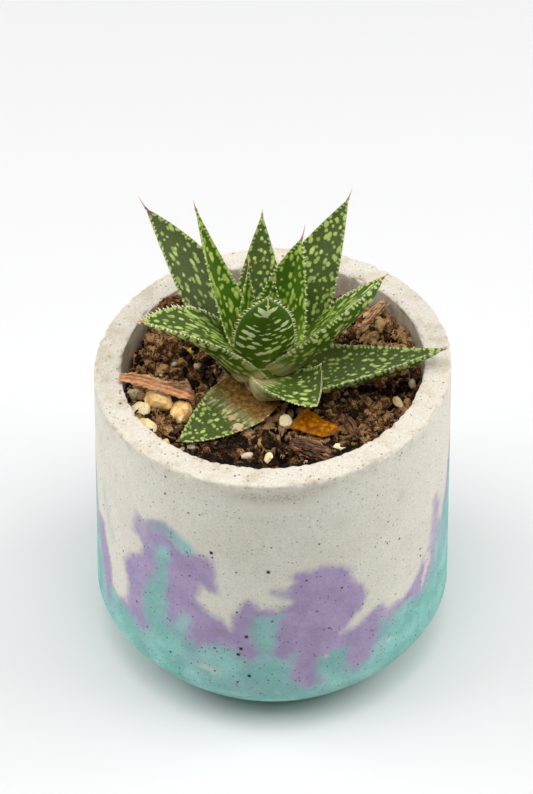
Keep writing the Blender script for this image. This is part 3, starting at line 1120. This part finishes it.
def build_leaf(name, leaf, draw):
    """Wrap a grid round the blade's section, and note where its spots and margins are."""
    line = leaf_frames(leaf, np.linspace(0, 1, 80))[0]
    length = float(np.linalg.norm(np.diff(line, axis=0), axis=1).sum())
    look = leaf.look
    side = 2 * math.ceil(leaf.half_width / LEAF_STEP)
    t = np.linspace(0, 1, math.ceil(length / LEAF_STEP) + 1)
    points, along, up, left = leaf_frames(leaf, t)
    half = half_widths(leaf, t)
    depth = np.minimum(leaf.depth * (TIP_DEPTH + (1 - TIP_DEPTH) * (1 - t ** 1.5)), 0.9 * half + 0.3)
    depth = np.maximum(depth - look.fold * half, np.minimum(depth, 1.0))
    if leaf.blunt > 0.5:
        belly = 1 + 1.7 * (1 - np.clip(t / 0.7, 0, 1))
        thinned_end = 1 - 0.6 * np.clip((t - 0.75) / 0.25, 0, 1)
        rounded_root = 0.45 + 0.55 * np.sin(np.clip(t / 0.16, 0, 1) * math.pi / 2)
        half, depth = half * rounded_root, depth * belly * thinned_end * rounded_root
    hollow = (CHANNEL + look.fold) * half
    if leaf.spine:
        beyond = np.linspace(0, 1, SPINE_STATIONS + 1)[1:, None]
        foot = points[-1] - 0.3 * up[-1]
        way = along[-1] + SPINE_LIFT * max(along[-1][2], 0.0) * np.array((0.0, 0.0, 1.0))
        way /= np.linalg.norm(way)
        points = np.vstack([points, points[-1] + (foot - points[-1]) * np.minimum(3 * beyond, 1)
                            + leaf.spine * beyond * way])
        thin = (SPINE_RADIUS[0] - SPINE_RADIUS[1]) * (1 - beyond[:, 0]) ** 0.8 + SPINE_RADIUS[1]
        half = np.concatenate([half, thin])
        depth = np.concatenate([depth, 1.7 * thin])
        hollow = np.concatenate([hollow, -0.5 * thin])
        along, up, left = [np.vstack([rows, np.repeat(rows[-1:], SPINE_STATIONS, 0)])
                           for rows in (along, up, left)]
        t = np.concatenate([t, np.full(SPINE_STATIONS, 1.0)])
    horny_point = np.zeros(len(t))
    if leaf.spine:
        horny_point[-SPINE_STATIONS:] = beyond[:, 0]
    lower = np.sin(np.linspace(-1, 1, side + 1) * math.pi / 2)
    across = np.concatenate([np.linspace(1, -1, side + 1), lower[1:]])
    under = np.concatenate([np.zeros(side + 1), np.ones(side)])
    rows, columns = len(t), len(across)
    crease = 2 - 3 * look.fold
    hollowed = -hollow[:, None] * (1 - np.abs(across) ** crease)[None, :]
    keel = (1 - np.abs(across) ** KEEL_ROUND[0]) ** KEEL_ROUND[1]
    raised = hollowed - depth[:, None] * (under * keel)[None, :]
    aside = half[:, None] * across[None, :]
    run = np.concatenate([[0], np.cumsum(np.linalg.norm(np.diff(points, axis=0), axis=1))])
    run_all = np.repeat(run[:, None], columns, 1)

    spot = np.full((rows, columns), NO_SPOT)
    glow = np.full((rows, columns), 0.7)
    for face in (0, 1):
        for place_along, place_across, long, wide, strong in leaf_spots(draw, leaf, length):
            away = np.hypot((run_all - place_along) / long, (aside - place_across) / wide)
            inside = (1 - away) * wide
            found = (under[None, :] == face) & (inside > spot) & (inside > -0.3)
            spot = np.where(found, inside, spot)
            glow = np.where(found, strong, glow)
    margin = (1 - np.abs(across))[None, :] * half[:, None]
    beads = np.sin(run_all * 2 * math.pi / BEAD_PERIOD + 2.5 * np.sin(run_all * 0.9)) * 0.34 - 0.02
    bead = look.beads * 0.22 + beads - np.abs(margin - BEAD_INSET[0]) * 0.9
    low_bead = 0.10 * look.beads + 1.4 * beads - np.abs(margin - BEAD_INSET[1]) * 1.6
    bead = np.where(under[None, :] == 0, bead, low_bead)
    bead = np.where((t[:, None] > 0.15) & (leaf.waist <= 1), bead, NO_SPOT)
    glow = np.where(bead > spot, 0.5 + 0.4 * look.beads, glow)
    spot = np.maximum(spot, bead)
    if name == "leaf_08":    # its lower face is towards the viewer, with a pale line near the tip
        keel_line = 0.22 - np.abs(aside) * 1.2 + 0.10 * np.sin(run_all * 2.1)
        keel_line = np.where((under[None, :] == 1) & (t[:, None] > 0.72), keel_line, NO_SPOT)
        glow = np.where(keel_line > spot, 1.0, glow)
        spot = np.maximum(spot, keel_line)

    relief = 0.05 * np.clip(spot / 0.25 + 0.3, 0, 1) * np.clip(margin / 0.6, 0, 1)
    side_sign = np.where(under == 0, 1.0, -1.0)[None, :]
    place = (points[:, None, :] + aside[:, :, None] * left[:, None, :]
             + (raised + relief * side_sign)[:, :, None] * up[:, None, :])
    place = place.reshape(-1, 3)
    place += (0.12 * rough(place, 5.0, 1.0))[:, None] * np.repeat(up, columns, 0)
    blade = wrapped(name + "_blade", place.reshape(rows, columns, 3))

    dry_to = look.sere * (1 + 0.4 * under[None, :])
    sere = np.clip((dry_to - t[:, None]) / np.maximum(dry_to, 0.1) * 1.4, 0, 1) * (dry_to > 0)
    horn = np.clip((t - 0.955) / 0.03, 0, 0.62) if leaf.blunt > 0.5 else 0 * t
    tip = 0 * t
    if leaf.spine:
        tip = np.clip((run - (length - look.dry_tip)) / look.dry_tip * 1.25, 0, 1)
    for key, values in (("spot", spot), ("glow", glow), ("margin", margin), ("under", under[None, :]),
                        ("share", t[:, None]), ("sere", sere), ("horn", horn[:, None]),
                        ("tip", tip[:, None]), ("point", horny_point[:, None]),
                        ("vivid", look.vivid), ("run", run_all), ("aside", aside),
                        ("dead", float(look.sere > 0.5))):
        add_attribute(blade, key, np.broadcast_to(values, (rows, columns)).ravel())
    close_up(blade)
    return blade, (run, half, points, along, left, up, length)


def leaf_teeth(name, leaf, measures, draw):
    """White horny teeth along both margins, leaning to the tip."""
    run, half, points, along, left, up, length = measures
    spacing, height = leaf.look.teeth
    cone = added("tooth_pattern", bpy.ops.mesh.primitive_cone_add, vertices=6, radius1=MM, radius2=0,
                 depth=MM, location=(0, 0, MM / 2))
    bpy.ops.object.transform_apply(location=True)
    placements = []
    for hand in (-1, 1):
        at = TOOTHLESS_BASE * length
        while at < length - 0.3:
            i = min(int(np.searchsorted(run, at)), len(run) - 1)
            size = height * draw.uniform(0.55, 1.1) * min(1.0, 0.4 + half[i] / 4)
            edge = points[i] + hand * (half[i] - 0.15) * left[i]
            lean = Vector(hand * left[i] + 0.5 * along[i] + draw.uniform(-0.2, 0.25) * up[i])
            turn = lean.to_track_quat("Z", "Y").to_matrix().to_4x4()
            placements.append(Matrix.Translation(edge) @ turn
                              @ Matrix.Diagonal((0.30, 0.2, size + 0.15, 1.0)))
            at += spacing * draw.uniform(0.7, 1.3)
    teeth = copies(name + "_teeth", cone, placements, [0.0] * len(placements))
    bpy.data.objects.remove(cone)
    for key, value in (("horn", 1.0), ("margin", 1.0), ("spot", NO_SPOT)):
        add_attribute(teeth, key, np.full(len(teeth.data.vertices), value))
    return teeth


skin = Finish("leaf_skin", {"Specular IOR Level": 0.13, "Subsurface Weight": 0.10,
                            "Subsurface Radius": (0.6, 1.0, 0.3), "Subsurface Scale": 0.0015})
at = skin.place()
under = skin.attribute("under")
share = skin.attribute("share")
sere = skin.attribute("sere")
cells = skin.mottle(at, 0.30, 2.0, 0.7)
cloudy = skin.mottle(at, 4.0, 3.0)
along_blade = skin.node("CombineXYZ", None, {0: skin.attribute("run") * 0.14,
                                             1: skin.attribute("aside") * 1.6, 2: under * 7})
streaks = skin.mottle(along_blade, 1.0, 4.0, 0.6)

# The green: greyer on the old leaves, brighter towards a root, with a waxy bloom on the upper face.
vivid = skin.attribute("vivid") + (cloudy - 0.5) * 0.4 + share.rise(0.75, 0.2) * 0.25
vivid = (vivid + under * 0.4).rise(0.0, 1.15)
green = skin.mix(vivid, (0.056, 0.078, 0.016), (0.058, 0.150, 0.002))
green = skin.mix(share.rise(0.42, 0.05) * vivid * streaks * 1.3, green, (0.34, 0.42, 0.07))
bloom = cells.rise(0.48, 0.78) * (1 - vivid * 0.7) * (0.40 - under * 0.2)
green = skin.mix(bloom, green, (0.25, 0.30, 0.17))
green = skin.mix(under * 0.4, green, (0.040, 0.088, 0.003))

# The pale spots and beads, and the pale line along the margin.
ragged = (skin.mottle(at, 0.55, 4.0, 0.7) - 0.5) * 0.65
glow = skin.attribute("glow") + (cells - 0.5) * 0.3
spotted = (skin.attribute("spot") + ragged).rise(-0.16, 0.16) * glow
pale = skin.mix(vivid, (0.45, 0.57, 0.15), (0.54, 0.68, 0.13))
pale = skin.mix(under * 0.5, pale, (0.80, 0.86, 0.36))
green = skin.mix(spotted, green, pale)
green = skin.mix(spotted.rise(0.85, 1.25) * 0.8, green, (0.66, 0.74, 0.52))
rim_line = skin.attribute("margin").rise(0.22, 0.02)
green = skin.mix(rim_line * 0.25, green, (0.55, 0.66, 0.42))

# The dried base, straw on a living leaf and brown on a dying one.
dry = (sere + (cloudy - 0.5) * 0.6 + (streaks - 0.5) * 1.3).rise(0.15, 1.0)
straw = skin.mix(streaks.rise(0.35, 0.65), (0.36, 0.37, 0.12), (0.70, 0.57, 0.36))
withered_patch = skin.mottle(at, 1.1, 4.0, 0.7).rise(0.4, 0.62)
withered = skin.mix(withered_patch, (0.13, 0.055, 0.008), (0.30, 0.16, 0.042))
dead = (sere + (cells - 0.5) * 0.4).rise(0.3, 0.9) * skin.attribute("dead")
green = skin.mix(dry * 0.95, green, skin.mix(dead, straw, withered))

# The browned tip, the spine, and the horny teeth and callus.
browned_tip = (skin.attribute("tip") + (skin.mottle(at, 1.0, 3.0) - 0.5) * 1.2).rise(0.2, 0.75)
tip_brown = skin.mix(skin.attribute("vivid").rise(0.05, 0.15), (0.20, 0.085, 0.075), (0.42, 0.20, 0.09))
green = skin.mix(browned_tip, green, tip_brown)
point = skin.attribute("point")
spine_brown = skin.mix(point, (0.42, 0.20, 0.11), (0.80, 0.62, 0.52))
green = skin.mix(point.rise(0.0, 0.12), green, spine_brown)
horny = (skin.attribute("horn") + (cells - 0.5) * 0.9).rise(0.45, 0.8)
green = skin.mix(horny, green, (0.68, 0.60, 0.41))
skin.feed("Base Color", green)
skin.feed("Roughness", 0.42 + (cells - 0.5) * 0.25 + dry * 0.3)
skin.bump(cells * 0.5 + spotted * 0.7 + streaks * 0.5, 0.08)

for number, (name, leaf) in enumerate(LEAVES.items()):
    draw_leaf = random.Random(100 + number)
    blade, measures = build_leaf(name, leaf, draw_leaf)
    dress(blade, skin, name)
    dress(leaf_teeth(name, leaf, measures, draw_leaf), skin)

# Two crumbs of dry compost that lie on the low leaf: x, y and half sizes.
DRY_CRUMBS = ((-10.2, -13.4, (1.1, 0.9, 0.6)), (-8.7, -17.4, (1.4, 1.2, 0.8)))

template = rough_ball("dry_crumb_pattern", 0.5, 8.0)
lying = points_of(bpy.data.objects["leaf_13_blade"])
placements = []
for x, y, size in DRY_CRUMBS:
    near = np.hypot(lying[:, 0] - x, lying[:, 1] - y) < 0.6
    placements.append(placed((x, y, lying[near, 2].max() + 0.3 * size[2]), (0, 0, 40 * x), size))
dry_crumbs = copies("dry_crumbs", template, placements, [0.62, 0.5])
bpy.data.objects.remove(template)
dress(dry_crumbs, grit)

# The dead leaves. A dried strip of leaf, folded along its middle, lies from the pot's wall to the
# plant, with one half standing up as a flap, and a curled piece of a yellow leaf lies on the compost
# in front. Both are stiff and thin, and rest where they fell.
BROWN_LEAF = (               # stations: x, y, z, reach to the near edge and to the far edge
    (-38.3, -6.1, 87.5, 0.8, 0.8),
    (-35.6, -5.8, 86.9, 1.4, 1.5),
    (-31.5, -5.7, 85.7, 1.7, 1.7),
    (-27.4, -6.1, 84.4, 1.6, 1.7),
    (-24.4, -6.7, 83.5, 1.5, 2.3),
    (-21.6, -7.2, 82.8, 1.5, 3.3),
    (-19.6, -7.6, 82.3, 0.9, 2.4),
)
BROWN_SIDE = (0.12, 0.8, 0.6)
BROWN_UP = (0.3, -0.58, 0.76)
BROWN_FOLD = 0.35
BROWN_STEP = 0.22            # spacing of its points along it
BROWN_COLUMNS = 23           # points across it
YELLOW_CORNERS = ((8.2, -10.2, 80.4), (17.5, -16.8, 79.8), (12.6, -19.8, 79.4), (4.0, -16.6, 79.2))
YELLOW_BULGE = 1.2
YELLOW_ROWS = 49
YELLOW_COLUMNS = 31
DEAD_THICKNESS = 0.5

stations = np.array(BROWN_LEAF)
knots = np.concatenate([[0], np.cumsum(np.linalg.norm(np.diff(stations[:, :3], axis=0), axis=1))])
run = np.arange(0, knots[-1], BROWN_STEP)
middle = np.stack([np.interp(run, knots, stations[:, i]) for i in range(3)], 1)
near = np.interp(run, knots, stations[:, 3]) + 0.12 * np.sin(run * 1.7) + 0.10 * np.sin(run * 4.1)
far = np.interp(run, knots, stations[:, 4]) + 0.14 * np.sin(run * 1.9 + 1) + 0.10 * np.sin(run * 5.3)
ending = np.clip((run / run[-1] - 0.84) / 0.16, 0, 1)
near *= 1 - 0.6 * ending
far *= 1 - 0.55 * ending ** 2
middle[:, 1] -= 0.9 * ending
side = np.array(BROWN_SIDE) / np.linalg.norm(BROWN_SIDE)
up = np.array(BROWN_UP) / np.linalg.norm(BROWN_UP)
across = np.concatenate([np.linspace(1, -1, BROWN_COLUMNS), np.linspace(-1, 1, BROWN_COLUMNS)[1:]])
under = np.concatenate([np.zeros(BROWN_COLUMNS), np.ones(BROWN_COLUMNS - 1)])
fold = BROWN_FOLD * near[:, None] * (np.abs(across) - 1)[None, :]
aside = np.where(across > 0, far[:, None], near[:, None]) * across[None, :]
flap = np.clip((aside - 0.5) / 0.5, 0, 1) * np.clip(run[:, None] / run[-1] * 8 - 4.6, 0, 1)
fold = fold + 0.45 * flap * (aside - 0.5)
folds = (0.13 * np.sin(aside * 6.2 + 0.5 * np.sin(run[:, None] * 0.8))
         + 0.08 * np.sin(aside * 14.0 + run[:, None] * 1.9)
         + 0.22 * np.sin(run[:, None] * 0.9) * (across ** 2)[None, :])
thick = np.where(under == 0, 1, -1) * np.sqrt(np.maximum(1 - np.abs(across) ** 6, 0))
lift = fold + folds + 0.5 * DEAD_THICKNESS * thick[None, :]
place = middle[:, None, :] + aside[:, :, None] * side + lift[:, :, None] * up
strip = wrapped("dead_leaf_strip", place)
for key, values in (("ridge", folds), ("flap", flap), ("share", run[:, None] / run[-1]),
                    ("across", across[None, :])):
    add_attribute(strip, key, np.broadcast_to(values, lift.shape).ravel())
close_up(strip)

tan_leaf = Finish("withered_brown", {"Specular IOR Level": 0.3})
at = tan_leaf.place()
grain = tan_leaf.mottle(tan_leaf.stretched(at, (0.25, 1.0, 1.0)), 0.5, 4.0)
tan = tan_leaf.ramp(grain + tan_leaf.attribute("ridge") * 0.5,
                    ((0.2, (0.26, 0.085, 0.028)), (0.45, (0.64, 0.29, 0.125)), (0.75, (0.98, 0.60, 0.33))))
on_flap = (tan_leaf.attribute("flap") + (grain - 0.5) * 0.3).rise(0.2, 0.8)
flap_brown = tan_leaf.mix(grain.rise(0.4, 0.6), (0.16, 0.075, 0.035), (0.42, 0.24, 0.12))
tan = tan_leaf.mix(on_flap * 0.85, tan, flap_brown)
inner_end = tan_leaf.attribute("share").rise(0.90, 0.97)
tan = tan_leaf.mix(inner_end * 0.8, tan, (0.22, 0.065, 0.03))
near_edge = tan_leaf.attribute("across").rise(-0.75, -0.98)
tan = tan_leaf.mix(near_edge * 0.6, tan, (0.22, 0.09, 0.04))
tan_leaf.feed("Base Color", tan)
tan_leaf.feed("Roughness", 0.6 + (grain - 0.5) * 0.3)
tan_leaf.bump(grain, 0.2)
dress(strip, tan_leaf, "dead_leaf_brown")

first, second, third, fourth = (np.array(corner) for corner in YELLOW_CORNERS)
u = np.linspace(0, 1, YELLOW_ROWS)[:, None]
sheet = np.linspace(0, 1, YELLOW_COLUMNS)
v = np.concatenate([sheet, sheet[::-1][1:]])[None, :]
under = np.concatenate([np.zeros(YELLOW_COLUMNS), np.ones(YELLOW_COLUMNS - 1)])
ragged_u = u + 0.016 * np.sin(v * 17) + 0.012 * np.sin(v * 41)
ragged_v = v + 0.018 * np.sin(u * 14 + 1) + 0.012 * np.sin(u * 47)
rim_of = np.minimum(np.minimum(u, 1 - u), np.minimum(v, 1 - v))
front = first + (second - first) * ragged_u[:, :, None]
back = fourth + (third - fourth) * ragged_u[:, :, None]
place = front + (back - front) * ragged_v[:, :, None]
curl = (YELLOW_BULGE * np.sin(np.pi * u) * np.sin(np.pi * v) + 0.8 * (1 - u) ** 6 + 0.5 * v ** 8
        + 0.14 * np.sin(9 * u + 5 * v) + 0.1 * np.sin(23 * u - 11 * v))
to_end = np.clip(12 * np.minimum(u, 1 - u) + 0.03, 0, 1)
to_side = np.clip(12 * np.minimum(v, 1 - v), 0, 1)
thick = np.where(under == 0, 1, -1)[None, :] * np.sqrt(np.minimum(to_end, to_side))
place[:, :, 2] += curl + 0.5 * DEAD_THICKNESS * thick
yellow = wrapped("dead_leaf_piece", place)
add_attribute(yellow, "rim", np.broadcast_to(rim_of, curl.shape).ravel())
close_up(yellow)

golden = Finish("withered_yellow", {"Specular IOR Level": 0.05, "Subsurface Weight": 0.05,
                                    "Subsurface Radius": (1.0, 0.5, 0.1), "Subsurface Scale": 0.001})
at = golden.place()
veins = golden.mottle(at, 1.2, 4.0)
gold = golden.ramp(veins, ((0.25, (0.11, 0.026, 0.0)), (0.48, (0.26, 0.078, 0.0)),
                           (0.75, (0.62, 0.255, 0.001))))
gold = golden.mix(golden.dots(at, 1.1, 0.22, 0.5), gold, (0.12, 0.05, 0.015))
browned = (golden.attribute("rim") + (veins - 0.5) * 0.1).rise(0.09, 0.0)
gold = golden.mix(browned * 0.8, gold, (0.22, 0.09, 0.03))
golden.feed("Base Color", gold)
golden.feed("Roughness", 0.5 + (veins - 0.5) * 0.3)
golden.bump(veins, 0.15)
dress(yellow, golden, "dead_leaf_yellow")

# The pebbles. Loose gravel of yellow and cream sandstone, worn round with a few flat facets. They
# lie half sunk in dents of the compost.
STONE_ROUGHNESS = 0.16
STONE_FACETS = (11, 5)       # on a large stone and on a small one
LARGE_STONE = 4.0
FACET_ALLOWANCE = 1.06       # makes up for what the facets take off
PEBBLES = {                  # centre, full size, turn about Z, warmth
    "pebble_01": ((-28.6, -6.6, 80.0), (7.0, 5.4, 4.8), -20, 0.75),
    "pebble_02": ((-33.0, -8.9, 78.6), (5.0, 4.6, 4.4), 10, 0.35),
    "pebble_03": ((-31.0, -14.8, 78.3), (6.2, 4.2, 4.0), -50, 0.55),
    "pebble_04": ((-22.9, -9.9, 78.9), (5.4, 7.4, 5.0), 8, 0.85),
    "pebble_05": ((-35.2, -2.4, 78.2), (3.6, 3.0, 2.8), 0, 0.05),
    "pebble_06": ((-27.0, -20.6, 78.5), (5.2, 2.8, 2.8), -42, 0.9),
    "pebble_07": ((3.4, -13.6, 79.4), (3.4, 3.4, 3.4), 15, 0.4),
    "pebble_08": ((16.7, -22.6, 79.0), (3.2, 2.2, 2.0), -15, 0.45),
    "pebble_09": ((-0.8, -26.6, 79.0), (2.2, 3.4, 2.8), 10, 0.5),
    "pebble_10": ((35.4, 0.2, 79.4), (1.8, 2.4, 2.4), 0, 0.3),
    "pebble_11": ((31.6, -6.4, 79.2), (2.0, 3.6, 2.2), 25, 0.6),
}

stone = Finish("sandstone", {"Specular IOR Level": 0.35, "Subsurface Weight": 0.08,
                             "Subsurface Radius": (1.0, 0.7, 0.4), "Subsurface Scale": 0.001})
at = stone.place()
patch = stone.mottle(at, 1.6, 4.0)
grain = stone.mottle(at, 0.4, 4.0, 0.7)
warm = stone.attribute("warmth") + (patch - 0.5) * 1.5
paint = stone.ramp(warm, ((0.0, (0.72, 0.63, 0.46)), (0.3, (1.0, 0.88, 0.58)), (0.55, (1.0, 0.83, 0.43)),
                          (0.85, (0.98, 0.60, 0.20)), (1.0, (0.70, 0.34, 0.09))))
pocks = stone.dots(at, 0.8, 0.26, 0.45)
paint = stone.mix(pocks * 0.5, paint, (0.45, 0.22, 0.07))
paint = stone.mix((grain - 0.4) * 0.5, paint, (0.95, 0.86, 0.66))
stone.feed("Base Color", paint)
stone.feed("Roughness", 0.62 + (grain - 0.5) * 0.4)
stone.bump(grain + pocks * -0.8, 0.2)

for name, (centre, size, turn, warmth) in PEBBLES.items():
    pebble = added(name + "_stone", bpy.ops.mesh.primitive_ico_sphere_add, subdivisions=5, radius=MM)
    points = points_of(pebble)
    number = int(name[-2:])
    start = Vector(centre) * 3.7
    worn = [1 + STONE_ROUGHNESS * noise.noise(Vector(point) * 1.3 + start)
            + 0.09 * noise.noise(Vector(point) * 3.1 + start) + 0.03 * noise.noise(Vector(point) * 8 + start)
            for point in points]
    points *= np.array(worn)[:, None]
    draw = random.Random(number)
    for _ in range(STONE_FACETS[0] if max(size) > LARGE_STONE else STONE_FACETS[1]):
        facet = np.array([draw.gauss(0, 1) for _ in range(3)])
        facet /= np.linalg.norm(facet)
        over = points @ facet - draw.uniform(0.68, 0.92)
        points -= 0.9 * np.maximum(over, 0)[:, None] * facet
    points *= (1 - 0.10 * np.clip(rough(points, 0.3, float(number)) - 0.25, 0, 1))[:, None]
    points = points * np.array(size) / 2 * FACET_ALLOWANCE
    points = points @ np.array(Matrix.Rotation(math.radians(turn), 3, "Z")).T + centre
    move_points(pebble, points)
    add_attribute(pebble, "warmth", np.full(len(points), warmth))
    bpy.ops.object.shade_smooth()
    dress(pebble, stone, name)

# The bark. Split chips of pine bark, fibrous along their length and thinned at both ends. They lie
# in the compost and on it as they were poured with it.
CHIP_ROUGHNESS = 0.09
CHIP_WAIST = 0.35
CHIP_CUTS = 27
CHIP_SEED = 3                # without it, noise_vector gives other values in each session
BARK = {                     # centre, full size, turns about X, Y and Z, shade from dark to tan
    "bark_01": ((9.8, -24.6, 79.2), (11.0, 4.2, 3.6), (10, 4, -24), 0.30),
    "bark_02": ((25.2, 20.6, 84.4), (9.4, 2.4, 1.8), (14, -30, 34), 0.85),
    "bark_03": ((-26.0, 22.4, 85.2), (7.0, 3.0, 7.6), (10, 8, 20), 0.55),
    "bark_04": ((19.6, -15.6, 79.6), (8.0, 2.0, 1.6), (8, 6, -62), 0.3),
    "bark_05": ((-25.2, -16.6, 78.2), (4.6, 2.2, 2.0), (12, -4, 38), 0.15),
    "bark_06": ((-17.5, 10.0, 80.6), (5.4, 2.6, 2.0), (0, 10, 70), 0.5),
}

bark = Finish("pine_bark", {"Specular IOR Level": 0.35})
at = bark.place()
fibre = bark.attribute("fibre")
speck = bark.mottle(at, 0.5, 4.0, 0.7)
paint = bark.ramp(bark.attribute("shade") + (fibre - 0.5) * 0.9 + (speck - 0.5) * 0.5,
                  ((0.0, (0.020, 0.010, 0.006)), (0.25, (0.085, 0.040, 0.020)), (0.5, (0.25, 0.115, 0.050)),
                   (0.75, (0.46, 0.23, 0.10)), (1.0, (0.70, 0.45, 0.24))))
bark.feed("Base Color", paint)
bark.feed("Roughness", 0.7 + (speck - 0.5) * 0.4)
bark.bump(fibre + speck * 0.5, 0.25)

noise.seed_set(CHIP_SEED)
for name, (centre, size, turns, shade) in BARK.items():
    chip = cut_cube(name + "_chip", 1.0, CHIP_CUTS)
    bpy.ops.object.mode_set(mode="OBJECT")
    points = points_of(chip)
    start = Vector(centre) * 2.3
    waist = (1 - CHIP_WAIST * (2 * np.abs(points[:, 0])) ** 2)[:, None]
    points[:, 1:] *= waist
    fibres, shaped = [], []
    for x, y, z in points:
        rough_at = noise.noise_vector(Vector((x * 2, y * 5, z * 5)) + start)
        strand = noise.noise(Vector((x * 3, y * 17, z * 17)) + start)
        split = noise.noise(Vector((x * 9, y * 34, z * 34)) + start)
        fibres.append(0.5 + 0.7 * strand + 0.4 * split)
        torn = 0.9 * noise.noise(Vector((x * 4, y * 9, z * 9)) * 1.3 - start) * (2 * abs(x)) ** 3
        shaped.append(Vector((x + 0.12 * torn, y, z)) + CHIP_ROUGHNESS * rough_at
                      + Vector((0, y, z)) * (0.28 * strand + 0.14 * split + 0.5 * torn))
    points = np.array(shaped) * np.array(size)
    points += 0.35 * np.array([noise.noise_vector(Vector(point) * 0.9 + start) for point in points])
    turn = np.array(in_degrees(turns).to_matrix())
    move_points(chip, points @ turn.T + centre)
    add_attribute(chip, "fibre", fibres)
    add_attribute(chip, "shade", np.full(len(points), shade))
    bpy.ops.object.shade_smooth_by_angle(angle=math.radians(50))
    dress(chip, bark, name)
